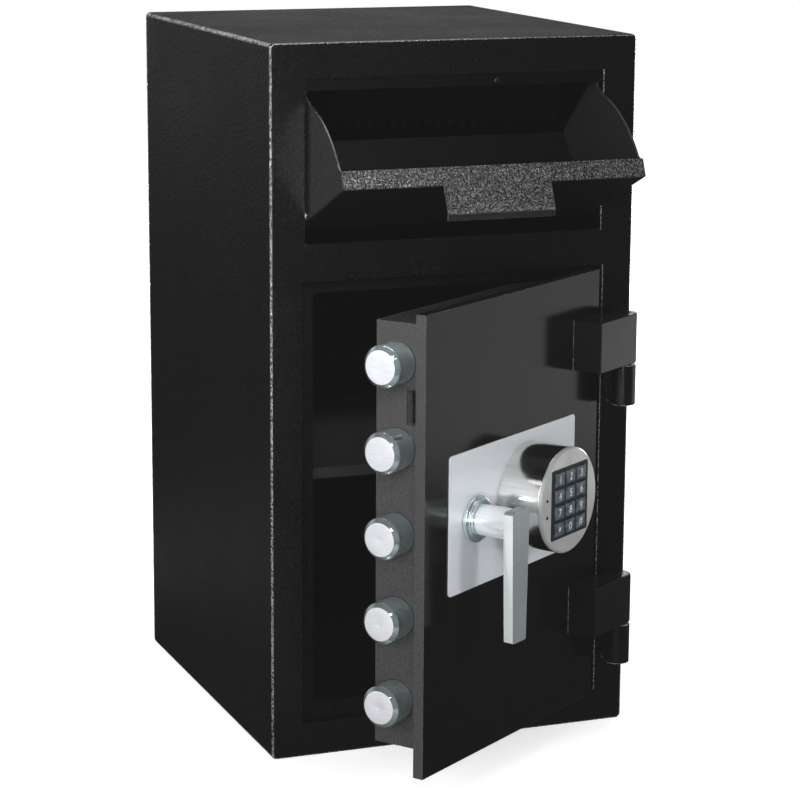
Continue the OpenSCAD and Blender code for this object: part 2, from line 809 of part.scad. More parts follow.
module lock_case() {
    color(zinc) on_door() difference() {
        translate([case_x0, plate_t, case_z1 - case_h]) cube([case_w, case_t, case_h]);
        translate([lock_bolt_x0 - part_gap, lock_bolt_y0 - part_gap, case_z1 - lock_bolt_h - part_gap])
            cube([lock_bolt_w + 2 * part_gap, lock_bolt_t + 2 * part_gap, lock_bolt_h + cut]);
    }
}

// Handle

module handle_lever() {
    z_top = shank_r;
    w0 = lever_w / 2;
    w1 = lever_tip_w / 2;
    r = 5;
    color(steel) on_door() difference() {
        union() {
            rod(spin_x, spin_z, lever_back - 0.5, rose_y - part_gap, shank_r);
            intersection() {
                slab(-lever_out, lever_t) translate([spin_x, spin_z]) polygon(concat(
                    arc([w0 - r, z_top - r], r, 0, 90),
                    arc([r - w0, z_top - r], r, 90, 180),
                    arc([2 - w1, 2 - lever_len], 2, 180, 270, 3),
                    arc([w1 - 2, 2 - lever_len], 2, 270, 360, 3)
                ));
                plank(spin_x - lever_w, 2 * lever_w) translate([0, spin_z]) polygon([
                    [-lever_out, z_top], [-lever_out, -lever_len],
                    [lever_tip_t - lever_out, -lever_len], [lever_back, -shank_r],
                    [lever_back, z_top]
                ]);
            }
        }
        rod(spin_x, spin_z, lever_back - 5, 0, spindle_r);
    }
}

module spindle() {
    color(zinc) on_door() rod(spin_x, spin_z, lever_back - 5, crank_y + crank_t, spindle_r);
}

// Crank on the inner end of the spindle, with its drive pin
module crank() {
    pin = [spin_x - crank_r * sin(handle_turn / 2), spin_z + crank_r * cos(handle_turn / 2)];
    color(zinc) on_door() difference() {
        union() {
            rod(spin_x, spin_z, crank_y, crank_y + crank_t, spindle_r + 6);
            rod(pin[0], pin[1], crank_y, crank_y + crank_t, crank_pin_r + 4);
            translate([spin_x, crank_y + crank_t, spin_z]) rotate([90, 0, 0])
                linear_extrude(crank_t) rotate(90 + handle_turn / 2)
                    translate([0, -crank_pin_r - 4]) square([crank_r, 2 * crank_pin_r + 8]);
            rod(pin[0], pin[1], crank_y, drive_y + drive_t + 1.5, crank_pin_r);
        }
        rod(spin_x, spin_z, crank_y - cut, crank_y + crank_t + cut, spindle_r);
    }
}

// Bolt work

module bolt_carrier() {
    color(zinc) on_door() slab(drive_y + drive_t, carry_y1 - drive_y - drive_t)
        rect(carry_x0, bolt_z(bolt_n - 1) - carry_over, carry_x0 + carry_t, bolt_z(0) + carry_over);
}

module drive_plate() {
    r = crank_pin_r + slot_play;
    x = spin_x - crank_r * sin(handle_turn / 2);
    z0 = spin_z + crank_r * cos(handle_turn / 2) - 1;
    z1 = spin_z + crank_r + 1;
    color(zinc) on_door() slab(drive_y, drive_t) difference() {
        union() {
            rect(carry_x0, z0 - 12, x + 12, arm_z0 + arm_h);
            rect(x, arm_z0, lock_bolt_x0 - 1, arm_z0 + arm_h);
        }
        rect(x - r, z0, x + r, z1);
        translate([x, z0]) circle(r);
        translate([x, z1]) circle(r);
    }
}

module round_bolt(i) {
    color(steel) on_door() translate([bolt_tip_x, bolt_y, bolt_z(i)]) rotate([0, 90, 0]) {
        cylinder(r1 = bolt_r - nose_c, r2 = bolt_r, h = nose_c);
        translate([0, 0, nose_c]) cylinder(r = bolt_r, h = bolt_len - nose_c);
    }
}

module lock_bolt() {
    color(steel) on_door() translate([lock_bolt_x0, lock_bolt_y0, case_z1 - lock_bolt_h])
        cube([lock_bolt_w, lock_bolt_t, lock_bolt_h]);
}

body_wrap();
back_panel();
front_frame();
door_jamb();
strike_bar();
deposit_floor();
hopper_header();
hopper_brackets();
anti_fish_baffle();
tray_bumpers();
shelf();
shelf_brackets();
hinge_barrel(hinge_feet[0]);  // lower_hinge_barrel
hinge_barrel(hinge_feet[1]);  // upper_hinge_barrel
hinge_pins();
hinge_washers();
hopper_plate();
hopper_lip();
hopper_cheek(hopper_x0);  // hopper_cheek_left
hopper_cheek(hopper_x1 - hopper_t);  // hopper_cheek_right
hopper_tray();
hopper_pivot_pins();
door_plate();
bolt_box();
bolt_guide_bar();
box_cover();
box_cover_screws();
hinge_leaf(hinge_feet[0]);  // lower_hinge_leaf
hinge_leaf(hinge_feet[1]);  // upper_hinge_leaf
dead_bar();
lock_trim_plate();
keypad_housing();
keypad_face();
keypad_panel();
led_lenses();
handle_rose();
lock_case();
handle_lever();
spindle();
crank();
bolt_carrier();
drive_plate();
for (i = [0:4]) if (i < bolt_n) round_bolt(i);
lock_bolt();
for (i = [0:11]) key_cap(i);
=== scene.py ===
# A black deposit safe: a tilting hopper above a door that stands ajar with its five bolts thrown.
# Places are in millimetres of the cabinet with door and hopper shut, and are then turned to rest.
import json
import math

import bmesh
import bpy
from mathutils import Matrix, Vector

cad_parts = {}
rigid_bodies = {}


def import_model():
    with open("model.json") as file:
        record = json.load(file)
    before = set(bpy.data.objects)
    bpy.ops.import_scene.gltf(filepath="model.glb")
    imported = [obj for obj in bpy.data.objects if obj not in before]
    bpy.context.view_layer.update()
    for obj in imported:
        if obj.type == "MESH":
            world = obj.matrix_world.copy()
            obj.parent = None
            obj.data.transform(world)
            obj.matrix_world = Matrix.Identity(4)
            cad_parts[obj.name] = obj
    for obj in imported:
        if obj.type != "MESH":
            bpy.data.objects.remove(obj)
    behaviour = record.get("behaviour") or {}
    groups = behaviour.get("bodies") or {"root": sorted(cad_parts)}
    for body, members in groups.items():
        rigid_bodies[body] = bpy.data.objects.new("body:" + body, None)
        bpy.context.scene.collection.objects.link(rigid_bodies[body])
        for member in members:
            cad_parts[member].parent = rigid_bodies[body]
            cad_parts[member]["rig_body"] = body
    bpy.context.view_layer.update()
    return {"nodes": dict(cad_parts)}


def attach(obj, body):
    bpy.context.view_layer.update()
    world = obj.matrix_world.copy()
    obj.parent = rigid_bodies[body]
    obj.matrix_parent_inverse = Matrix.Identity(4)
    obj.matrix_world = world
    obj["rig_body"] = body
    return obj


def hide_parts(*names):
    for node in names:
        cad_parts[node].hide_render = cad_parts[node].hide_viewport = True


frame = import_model()
nodes = frame["nodes"]
print("packed model loaded:", len(nodes), "pieces")

mm = 0.001
cabinet = {"width": 370, "depth": 406, "height": 686}
hinge = {"x": 355, "y": -19, "open": 35}
hopper = {"y": 7.5, "z": 524.5, "open": 67}
keypad = {"x": 203, "z": 268, "keyFront": -50.8, "stepX": 19.2, "stepZ": 15.8}

toFrame = Matrix.Scale(mm, 4) @ Matrix.Translation((-cabinet["width"] / 2, -cabinet["depth"] / 2, 0))
hingeLine = Matrix.Translation((hinge["x"], hinge["y"], 0))
pivotLine = Matrix.Translation((0, hopper["y"], hopper["z"]))
onCabinet = toFrame
onDoor = toFrame @ hingeLine @ Matrix.Rotation(math.radians(hinge["open"]), 4, "Z") @ hingeLine.inverted()
onHopper = toFrame @ pivotLine @ Matrix.Rotation(math.radians(hopper["open"]), 4, "X") @ pivotLine.inverted()

# Back from the rest pose to where the door's and the hopper's pieces lie when both are shut
doorBack = onDoor.inverted()
doorTurnBack = doorBack.to_3x3().normalized()
hopperBack = onHopper.inverted()


# Surface effects that several finishes share

def newGroup(name, inputs, outputs):
    tree = bpy.data.node_groups.new(name, "ShaderNodeTree")
    for label, kind, value in inputs:
        socket = tree.interface.new_socket(name=label, in_out="INPUT", socket_type=kind)
        socket.default_value = value
    for label, kind in outputs:
        tree.interface.new_socket(name=label, in_out="OUTPUT", socket_type=kind)
    return tree, tree.nodes.new("NodeGroupInput"), tree.nodes.new("NodeGroupOutput")


def noise(tree, vector, scale, detail=2.0, rough=0.5):
    node = tree.nodes.new("ShaderNodeTexNoise")
    node.inputs["Detail"].default_value = detail
    node.inputs["Roughness"].default_value = rough
    if isinstance(scale, (int, float)):
        node.inputs["Scale"].default_value = scale
    else:
        tree.links.new(scale, node.inputs["Scale"])
    tree.links.new(vector, node.inputs["Vector"])
    return node.outputs["Fac"]


def remap(tree, value, low, high, start=0.0, end=1.0):
    node = tree.nodes.new("ShaderNodeMapRange")
    node.interpolation_type = "SMOOTHSTEP"
    tree.links.new(value, node.inputs["Value"])
    settings = {"From Min": low, "From Max": high, "To Min": start, "To Max": end}
    for label, number in settings.items():
        if isinstance(number, (int, float)):
            node.inputs[label].default_value = number
        else:
            tree.links.new(number, node.inputs[label])
    return node.outputs["Result"]


def maths(tree, operation, first, second=0.5):
    node = tree.nodes.new("ShaderNodeMath")
    node.operation = operation
    for place, number in enumerate((first, second)):
        if isinstance(number, (int, float)):
            node.inputs[place].default_value = number
        else:
            tree.links.new(number, node.inputs[place])
    return node.outputs[0]


def blendColor(tree, factor, first, second):
    node = tree.nodes.new("ShaderNodeMix")
    node.data_type = "RGBA"
    for socket, value in ((node.inputs[0], factor), (node.inputs[6], first), (node.inputs[7], second)):
        if isinstance(value, (int, float, tuple)):
            socket.default_value = value
        else:
            tree.links.new(value, socket)
    return node.outputs[2]


def objectPlace(tree):
    return tree.nodes.new("ShaderNodeTexCoord").outputs["Object"]


# Powder coat: orange-peel bumps, a few bright grains, painted shade in the peel's pits, and a painted
# highlight along rounded edges
def buildCoatGrain():
    tree, given, out = newGroup("coatGrain", [
        ("Grain", "NodeSocketFloat", 700.0),
        ("Coat", "NodeSocketColor", (0.01, 0.01, 0.01, 1)),
        ("Grit", "NodeSocketColor", (0.05, 0.05, 0.05, 1)),
        ("Grit Amount", "NodeSocketFloat", 0.5),
        ("Rubbed", "NodeSocketColor", (0.2, 0.2, 0.2, 1)),
        ("Rub Amount", "NodeSocketFloat", 0.5),
        ("Smooth", "NodeSocketFloat", 0.32),
        ("Rough", "NodeSocketFloat", 0.5),
    ], [("Color", "NodeSocketColor"), ("Roughness", "NodeSocketFloat"), ("Height", "NodeSocketFloat")])
    where = objectPlace(tree)
    peel = noise(tree, where, given.outputs["Grain"], 3.0, 0.6)
    fine = noise(tree, where, maths(tree, "MULTIPLY", given.outputs["Grain"], 1.9), 1.0)
    patch = noise(tree, where, 9.0, 2.0)  # slow change of gloss over a hand's width
    grains = remap(tree, fine, 0.6, 0.74)  # only the highest grains show
    grit = maths(tree, "MULTIPLY", grains, given.outputs["Grit Amount"])
    # Painted shade: the pits of the peel are darker, keeping only part of the coat's tone
    unshadedShare = remap(tree, peel, 0.32, 0.55, 0.45, 1.0)  # the pits keep some of the coat's tone
    pitShade = (0.0015, 0.0015, 0.0016, 1)
    pitShaded = blendColor(tree, unshadedShare, pitShade, given.outputs["Coat"])
    gritty = blendColor(tree, grit, pitShaded, given.outputs["Grit"])
    # Painted highlight: rounded edge strips marked in the edge attribute are lightened towards a paler colour
    edge = tree.nodes.new("ShaderNodeAttribute")
    edge.attribute_name = "edge"
    highlightBand = remap(tree, edge.outputs["Fac"], 0.25, 0.9)
    highlightSpots = remap(tree, peel, 0.36, 0.6)  # the painted highlight lies only on the peel's high spots
    highlightShare = maths(tree, "MULTIPLY", maths(tree, "MULTIPLY", highlightBand, highlightSpots), given.outputs["Rub Amount"])
    tree.links.new(blendColor(tree, highlightShare, gritty, given.outputs["Rubbed"]), out.inputs["Color"])
    spread = maths(tree, "ADD", maths(tree, "MULTIPLY", peel, 0.6), maths(tree, "MULTIPLY", patch, 0.4))
    gloss = remap(tree, spread, 0.3, 0.7, given.outputs["Smooth"], given.outputs["Rough"])
    tree.links.new(gloss, out.inputs["Roughness"])
    height = maths(tree, "ADD", peel, maths(tree, "MULTIPLY", fine, 0.35))
    tree.links.new(height, out.inputs["Height"])
    return tree


# Coarse wrinkle finish: raised worms parted by winding creases, with a painted sheen on the crests and
# painted shade in the creases
def buildWrinkle():
    tree, given, out = newGroup("wrinkleFinish", [
        ("Worms", "NodeSocketFloat", 340.0),
        ("Crest", "NodeSocketColor", (0.3, 0.3, 0.3, 1)),
        ("Crease", "NodeSocketColor", (0.02, 0.02, 0.02, 1)),
    ], [("Color", "NodeSocketColor"), ("Roughness", "NodeSocketFloat"), ("Height", "NodeSocketFloat")])
    where = objectPlace(tree)
    swell = noise(tree, where, given.outputs["Worms"], 1.0)
    fromCrease = maths(tree, "ABSOLUTE", maths(tree, "SUBTRACT", swell, 0.5))
    crest = remap(tree, fromCrease, 0.015, 0.1)
    fine = noise(tree, where, 1100.0, 1.0)  # grain on top of the worms
    tone = maths(tree, "MULTIPLY", crest, remap(tree, fine, 0.35, 0.6, 0.35, 1.0))
    color = blendColor(tree, tone, given.outputs["Crease"], given.outputs["Crest"])
    tree.links.new(color, out.inputs["Color"])
    tree.links.new(remap(tree, fine, 0.3, 0.7, 0.35, 0.6), out.inputs["Roughness"])
    tree.links.new(maths(tree, "ADD", crest, maths(tree, "MULTIPLY", fine, 0.3)), out.inputs["Height"])
    return tree


# Fine parallel scratches of brushed metal, stretched along one direction
def buildBrushing():
    tree, given, out = newGroup("brushedLines", [
        ("Turn", "NodeSocketVector", (0, 0, 0)),
        ("Stretch", "NodeSocketVector", (40, 2500, 2500)),
        ("Smooth", "NodeSocketFloat", 0.2),
        ("Rough", "NodeSocketFloat", 0.4),
        ("Light", "NodeSocketColor", (0.8, 0.8, 0.8, 1)),
        ("Dark", "NodeSocketColor", (0.6, 0.6, 0.6, 1)),
    ], [("Color", "NodeSocketColor"), ("Roughness", "NodeSocketFloat"), ("Height", "NodeSocketFloat")])
    turn = tree.nodes.new("ShaderNodeMapping")
    tree.links.new(objectPlace(tree), turn.inputs["Vector"])
    tree.links.new(given.outputs["Turn"], turn.inputs["Rotation"])
    stretch = tree.nodes.new("ShaderNodeVectorMath")
    stretch.operation = "MULTIPLY"
    tree.links.new(turn.outputs[0], stretch.inputs[0])
    tree.links.new(given.outputs["Stretch"], stretch.inputs[1])
    lines = noise(tree, stretch.outputs[0], 1.0, 3.0, 0.65)
    smear = noise(tree, objectPlace(tree), 26.0, 3.0)  # broad patches of wiping
    tone = maths(tree, "ADD", maths(tree, "MULTIPLY", lines, 0.7), maths(tree, "MULTIPLY", smear, 0.3))
    color = blendColor(tree, remap(tree, tone, 0.35, 0.65), given.outputs["Dark"], given.outputs["Light"])
    tree.links.new(color, out.inputs["Color"])
    gloss = remap(tree, tone, 0.35, 0.65, given.outputs["Smooth"], given.outputs["Rough"])
    tree.links.new(gloss, out.inputs["Roughness"])
    tree.links.new(lines, out.inputs["Height"])
    return tree


# Faint patches of handling on polished metal and plastic
def buildHandling():
    tree, given, out = newGroup("handlingMarks", [
        ("Size", "NodeSocketFloat", 60.0),
        ("Clean", "NodeSocketColor", (0.8, 0.8, 0.8, 1)),
        ("Dulled", "NodeSocketColor", (0.7, 0.7, 0.7, 1)),
        ("Smooth", "NodeSocketFloat", 0.06),
        ("Rough", "NodeSocketFloat", 0.2),
    ], [("Color", "NodeSocketColor"), ("Roughness", "NodeSocketFloat"), ("Height", "NodeSocketFloat")])
    where = objectPlace(tree)
    patch = noise(tree, where, given.outputs["Size"], 4.0, 0.6)
    fine = noise(tree, where, 2200.0, 2.0)
    color = blendColor(tree, remap(tree, patch, 0.35, 0.68), given.outputs["Clean"], given.outputs["Dulled"])
    tree.links.new(color, out.inputs["Color"])
    gloss = remap(tree, patch, 0.32, 0.7, given.outputs["Smooth"], given.outputs["Rough"])
    tree.links.new(gloss, out.inputs["Roughness"])
    tree.links.new(fine, out.inputs["Height"])
    return tree


coatGrain = buildCoatGrain()
wrinkleFinish = buildWrinkle()
brushedLines = buildBrushing()
handlingMarks = buildHandling()
print("surface effects built")


# The lift is a trace of light of its own, since the dark coats are never fully black in the photo
def finish(name, group, settings, bump=0.1, depth=0.0002, metal=0.0, specular=0.5, coat=0.0, lift=0.0):
    material = bpy.data.materials.new(name)
    material.use_nodes = True
    tree = material.node_tree
    shader = tree.nodes["Principled BSDF"]
    shader.inputs["Metallic"].default_value = metal
    shader.inputs["Specular IOR Level"].default_value = specular
    shader.inputs["Coat Weight"].default_value = coat
    shader.inputs["Emission Color"].default_value = (1, 1, 1, 1)
    shader.inputs["Emission Strength"].default_value = lift
    effect = tree.nodes.new("ShaderNodeGroup")
    effect.node_tree = group
    for label, value in settings.items():
        effect.inputs[label].default_value = value
    tree.links.new(effect.outputs["Color"], shader.inputs["Base Color"])
    tree.links.new(effect.outputs["Roughness"], shader.inputs["Roughness"])
    relief = tree.nodes.new("ShaderNodeBump")
    relief.inputs["Strength"].default_value = bump
    relief.inputs["Distance"].default_value = depth
    tree.links.new(effect.outputs["Height"], relief.inputs["Height"])
    tree.links.new(relief.outputs["Normal"], shader.inputs["Normal"])
    return material


# A grey with its blue part raised or lowered by a share
def grey(level, blue=0.0):
    return (level, level, level * (1 + blue), 1)


shade = 0.007
blackCoat = finish("blackCoat", coatGrain, {
    "Grain": 260.0, "Coat": grey(0.0015, 0.02), "Grit": grey(0.025), "Grit Amount": 0.3,
    "Rubbed": grey(0.42), "Rub Amount": 0.8, "Smooth": 0.3, "Rough": 0.45,
}, bump=0.7, depth=0.0008, specular=0.12, lift=shade)
frameCoat = finish("frameCoat", coatGrain, {
    "Grain": 400.0, "Coat": grey(0.0015, 0.02), "Grit": grey(0.02), "Grit Amount": 0.1,
    "Rubbed": grey(0.42), "Rub Amount": 0.8, "Smooth": 0.2, "Rough": 0.32,
}, bump=0.35, depth=0.0004, specular=0.5, lift=shade)
# Painted light: a lighter copy of the black coat for pieces in shade inside the safe and behind the mouth,
# and for the bolt box's top
innerCoat = finish("innerCoat", coatGrain, {
    "Grain": 620.0, "Coat": grey(0.014, 0.03), "Grit": grey(0.03), "Grit Amount": 0.3,
    "Rubbed": grey(0.05), "Rub Amount": 0.5, "Smooth": 0.5, "Rough": 0.65,
}, bump=0.3, depth=0.0003, specular=0.25, lift=shade)
doorCoat = finish("doorCoat", coatGrain, {
    "Grain": 500.0, "Coat": grey(0.002, 0.0), "Grit": grey(0.02), "Grit Amount": 0.1,
    "Rubbed": grey(0.12), "Rub Amount": 0.5, "Smooth": 0.12, "Rough": 0.2,
}, bump=0.08, depth=0.0002, specular=0.16, lift=shade)
# Painted light: a far lighter copy of the door's coat for the bolt box, its cover and the door plate's free
# edge, standing in for the light from the left
boxCoat = finish("boxCoat", coatGrain, {
    "Grain": 700.0, "Coat": grey(0.047, -0.02), "Grit": grey(0.11), "Grit Amount": 0.3,
    "Rubbed": grey(0.14), "Rub Amount": 0.5, "Smooth": 0.42, "Rough": 0.55,
}, bump=0.2, depth=0.0002, specular=0.3)
hopperCoat = finish("hopperCoat", coatGrain, {
    "Grain": 600.0, "Coat": grey(0.004, 0.0), "Grit": grey(0.015), "Grit Amount": 0.3,
    "Rubbed": grey(0.04), "Rub Amount": 0.4, "Smooth": 0.4, "Rough": 0.52,
}, bump=0.15, depth=0.0002, specular=0.15, lift=shade)
cheekCoat = finish("cheekCoat", coatGrain, {
    "Grain": 420.0, "Coat": grey(0.006, 0.0), "Grit": grey(0.03), "Grit Amount": 0.3,
    "Rubbed": grey(0.08), "Rub Amount": 0.5, "Smooth": 0.22, "Rough": 0.34,
}, bump=0.3, depth=0.0003, specular=0.5, lift=shade)
baffleCoat = finish("baffleCoat", coatGrain, {
    "Grain": 600.0, "Coat": grey(0.002, 0.0), "Grit": grey(0.006), "Grit Amount": 0.3,
    "Rubbed": grey(0.01), "Rub Amount": 0.3, "Smooth": 0.45, "Rough": 0.6,
}, bump=0.2, depth=0.0003, specular=0.05, lift=shade)
# The lip's wrinkles: crests painted light as a painted sheen, creases painted near-black as painted shade
wrinkleCoat = finish("wrinkleCoat", wrinkleFinish, {
    "Worms": 350.0, "Crest": grey(0.1), "Crease": grey(0.001),
}, bump=1.5, depth=0.0008, specular=0.5, lift=shade)
# Painted shade: a darker, plain coat for the pull tab's bent-under end, standing in for the shade on it
tabEndCoat = finish("tabEndCoat", coatGrain, {
    "Grain": 600.0, "Coat": grey(0.011, 0.0), "Grit": grey(0.02), "Grit Amount": 0.2,
    "Rubbed": grey(0.1), "Rub Amount": 0.5, "Smooth": 0.4, "Rough": 0.52,
}, bump=0.15, depth=0.0002, specular=0.3, lift=shade)
hingeCoat = finish("hingeCoat", coatGrain, {
    "Grain": 500.0, "Coat": grey(0.003, 0.0), "Grit": grey(0.03), "Grit Amount": 0.2,
    "Rubbed": grey(0.42), "Rub Amount": 0.7, "Smooth": 0.15, "Rough": 0.28,
}, bump=0.2, depth=0.0003, specular=0.3, lift=shade)
doorTurn = (0, 0, -math.radians(hinge["open"]))
brushedTrim = finish("brushedTrim", brushedLines, {
    "Turn": doorTurn, "Stretch": (14, 4200, 4200), "Smooth": 0.42, "Rough": 0.52,
    "Light": (0.7, 0.73, 0.77, 1), "Dark": (0.63, 0.66, 0.7, 1),
}, bump=0.12, depth=0.0001, metal=0.45)
satinNickel = finish("satinNickel", handlingMarks, {
    "Size": 30.0, "Clean": (0.5, 0.51, 0.5, 1), "Dulled": (0.44, 0.45, 0.44, 1), "Smooth": 0.3, "Rough": 0.42,
}, bump=0.05, depth=0.0001, metal=0.6)
polishedNickel = finish("polishedNickel", brushedLines, {
    "Turn": doorTurn, "Stretch": (900, 12, 900), "Smooth": 0.12, "Rough": 0.2,
    "Light": (0.92, 0.91, 0.88, 1), "Dark": (0.74, 0.73, 0.7, 1),
}, bump=0.05, depth=0.0001, metal=1.0)
leverChrome = finish("leverChrome", handlingMarks, {
    "Size": 14.0, "Clean": (0.4, 0.45, 0.47, 1), "Dulled": (0.36, 0.41, 0.43, 1),
    "Smooth": 0.24, "Rough": 0.3,
}, bump=0.0, metal=0.65)
# Painted light: a far lighter copy of the lever's chrome for its shank and its left-facing sides, standing in
# for how they catch the light
shankChrome = finish("shankChrome", handlingMarks, {
    "Size": 14.0, "Clean": (0.9, 0.94, 0.96, 1), "Dulled": (0.84, 0.88, 0.9, 1), "Smooth": 0.2, "Rough": 0.26,
}, bump=0.0, metal=0.6)
boltChrome = finish("boltChrome", handlingMarks, {
    "Size": 50.0, "Clean": (0.66, 0.76, 0.78, 1), "Dulled": (0.5, 0.59, 0.61, 1),
    "Smooth": 0.1, "Rough": 0.22,
}, bump=0.04, depth=0.0001, metal=0.86)
boltEnd = finish("boltEnd", brushedLines, {
    "Turn": doorTurn, "Stretch": (900, 60, 900), "Smooth": 0.4, "Rough": 0.55,
    "Light": (0.6, 0.61, 0.64, 1), "Dark": (0.52, 0.53, 0.56, 1),
}, bump=0.15, depth=0.0001, metal=0.3)
zincSteel = finish("zincSteel", handlingMarks, {
    "Size": 90.0, "Clean": (0.42, 0.42, 0.43, 1), "Dulled": (0.3, 0.3, 0.31, 1), "Smooth": 0.32, "Rough": 0.5,
}, bump=0.1, depth=0.0001, metal=0.9)
plainBrass = finish("plainBrass", handlingMarks, {
    "Size": 80.0, "Clean": (0.6, 0.45, 0.16, 1), "Dulled": (0.42, 0.3, 0.1, 1), "Smooth": 0.22, "Rough": 0.4,
}, bump=0.05, depth=0.0001, metal=1.0)
bumperRubber = finish("bumperRubber", handlingMarks, {
    "Size": 120.0, "Clean": grey(0.008), "Dulled": grey(0.014), "Smooth": 0.65, "Rough": 0.85,
}, bump=0.3, depth=0.0002, specular=0.3)
panelPlastic = finish("panelPlastic", handlingMarks, {
    "Size": 120.0, "Clean": (0.006, 0.009, 0.012, 1), "Dulled": (0.012, 0.016, 0.02, 1),
    "Smooth": 0.32, "Rough": 0.5,
}, bump=0.1, depth=0.0001, specular=0.3)
keyPlastic = finish("keyPlastic", handlingMarks, {
    "Size": 150.0, "Clean": (0.03, 0.038, 0.048, 1), "Dulled": (0.07, 0.082, 0.095, 1),
    "Smooth": 0.2, "Rough": 0.4,
}, bump=0.15, depth=0.0001, specular=0.6)
legendInk = finish("legendInk", handlingMarks, {
    "Size": 200.0, "Clean": (0.42, 0.48, 0.52, 1), "Dulled": (0.3, 0.35, 0.39, 1),
    "Smooth": 0.4, "Rough": 0.6,
}, bump=0.05, depth=0.0001, specular=0.4)
smokedLens = finish("smokedLens", handlingMarks, {
    "Size": 300.0, "Clean": (0.02, 0.004, 0.003, 1), "Dulled": (0.03, 0.006, 0.005, 1),
    "Smooth": 0.08, "Rough": 0.2,
}, bump=0.02, depth=0.0001, specular=0.5, coat=0.6)
print("finishes built:", len(bpy.data.materials))


# Helpers that make pieces

def plainMesh(piece):
    bpy.context.view_layer.update()
    graph = bpy.context.evaluated_depsgraph_get()
    mesh = bpy.data.meshes.new_from_object(piece.evaluated_get(graph), depsgraph=graph)
    return mesh


def discard(piece):
    mesh = piece.data
    bpy.data.objects.remove(piece)
    if mesh.users == 0:
        bpy.data.meshes.remove(mesh)


def onScene(name, mesh):
    piece = bpy.data.objects.new(name, mesh)
    bpy.context.scene.collection.objects.link(piece)
    return piece


def plainName(node):
    first, *rest = node.split("_")
    return first + "".join(word.capitalize() for word in rest)


def standIn(piece, *names):
    for name in names:
        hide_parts(name)
    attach(piece, nodes[names[0]]["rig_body"])
    return piece


# Points within the weld (metres) become one, faces that lean less than "flat" (degrees) are joined,
# and edges that turn more than "angle" (degrees) are rounded in so many steps
rounding = {"weld": 0.00001, "flat": 0.4, "angle": 30, "steps": 2}


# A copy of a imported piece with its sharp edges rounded; the rounded strips get the edge mark
def rounded(name, material, width):
    shape = bmesh.new()
    shape.from_mesh(nodes[name].data)
    bmesh.ops.remove_doubles(shape, verts=shape.verts, dist=rounding["weld"])
    flat = math.radians(rounding["flat"])
    bmesh.ops.dissolve_limit(shape, angle_limit=flat, verts=shape.verts, edges=shape.edges)
    mesh = bpy.data.meshes.new(name)
    shape.to_mesh(mesh)
    shape.free()
    mesh.materials.clear()
    mesh.materials.append(material)
    mesh.materials.append(material)
    for face in mesh.polygons:
        face.material_index = 0
    mesh.shade_smooth()
    sharp = math.radians(rounding["angle"])
    mesh.set_sharp_from_angle(angle=sharp)
    draft = onScene("draft", mesh)
    bevel = draft.modifiers.new("rounding", "BEVEL")
    bevel.width = width * mm
    bevel.segments = rounding["steps"]
    bevel.limit_method = "ANGLE"
    bevel.angle_limit = sharp
    bevel.harden_normals = True
    bevel.material = 1
    done = plainMesh(draft)
    discard(draft)
    markEdges(done, edgeMarks.get(name, stripMark))
    piece = onScene(plainName(name), done)
    return standIn(piece, name)


# How strong the painted highlight on an edge strip is: 0 is plain coat, 1 the full painted highlight
highlightLevel = {
    "strip": 0.8, "topChamfer": 0.6, "outerChamfer": 0.57, "rightEdge": 0.62, "otherEdge": 0.3,
    "leafEnd": 1.0, "leafRest": 0.1,
}


# In this function and the next ones a face with material 1 is a rounded strip
def stripMark(face):
    return highlightLevel["strip"] if face.material_index == 1 else 0.0


chamferBand = 3  # width of the front frame's chamfer, with some room


# On the front frame the outer chamfer gets a painted highlight, and at the openings their right-hand edges
# most
def frontFrameMark(face):
    spot = onCabinet.inverted() @ face.center
    sloping = 0.2 < abs(face.normal.y) < 0.95
    if sloping and spot.z > cabinet["height"] - chamferBand:
        return highlightLevel["topChamfer"] if face.normal.y < -0.8 else 0.0
    fromSide = min(spot.x, cabinet["width"] - spot.x)
    if sloping and min(fromSide, spot.z) < chamferBand:
        return highlightLevel["outerChamfer"]
    if face.material_index == 1:
        return highlightLevel["rightEdge"] if face.normal.x < -0.3 else highlightLevel["otherEdge"]
    return 0.0


bend = {"from": 27, "to": 79, "middle": 52, "mark": 0.76, "fade": 0.01}  # leans in degrees


# On the bent sheet the long bends get a painted highlight between two leans, most of all in the middle
def wrapMark(face):
    lean = math.degrees(math.atan2(abs(face.normal.x), abs(face.normal.z)))
    if abs(face.normal.y) > 0.5 or not bend["from"] < lean < bend["to"]:
        return 0.0
    return bend["mark"] - bend["fade"] * abs(lean - bend["middle"])


# On the hinge leaves the upright edge gets a painted highlight where the free end lies against the door
def leafMark(face):
    turned = doorTurnBack @ face.normal
    if face.material_index != 1 or abs(turned.z) > 0.5:
        return 0.0
    return highlightLevel["leafEnd"] if turned.x < -0.2 and turned.y > 0.2 else highlightLevel["leafRest"]


# The header strip and the door's recess get no painted highlight on any edge
def plainMark(face):
    return 0.0


edgeMarks = {
    "front_frame": frontFrameMark, "body_wrap": wrapMark, "hopper_header": plainMark, "door_jamb": plainMark,
    "lower_hinge_leaf": leafMark, "upper_hinge_leaf": leafMark,
}


def markEdges(mesh, markOf):
    values = [0.0] * len(mesh.loops)
    for face in mesh.polygons:
        mark = markOf(face)
        for corner in face.loop_indices:
            values[corner] = mark
    for face in mesh.polygons:
        face.material_index = 0
    mark = mesh.attributes.new("edge", "FLOAT", "CORNER")
    mark.data.foreach_set("value", values)
    mesh.materials.pop(index=1)


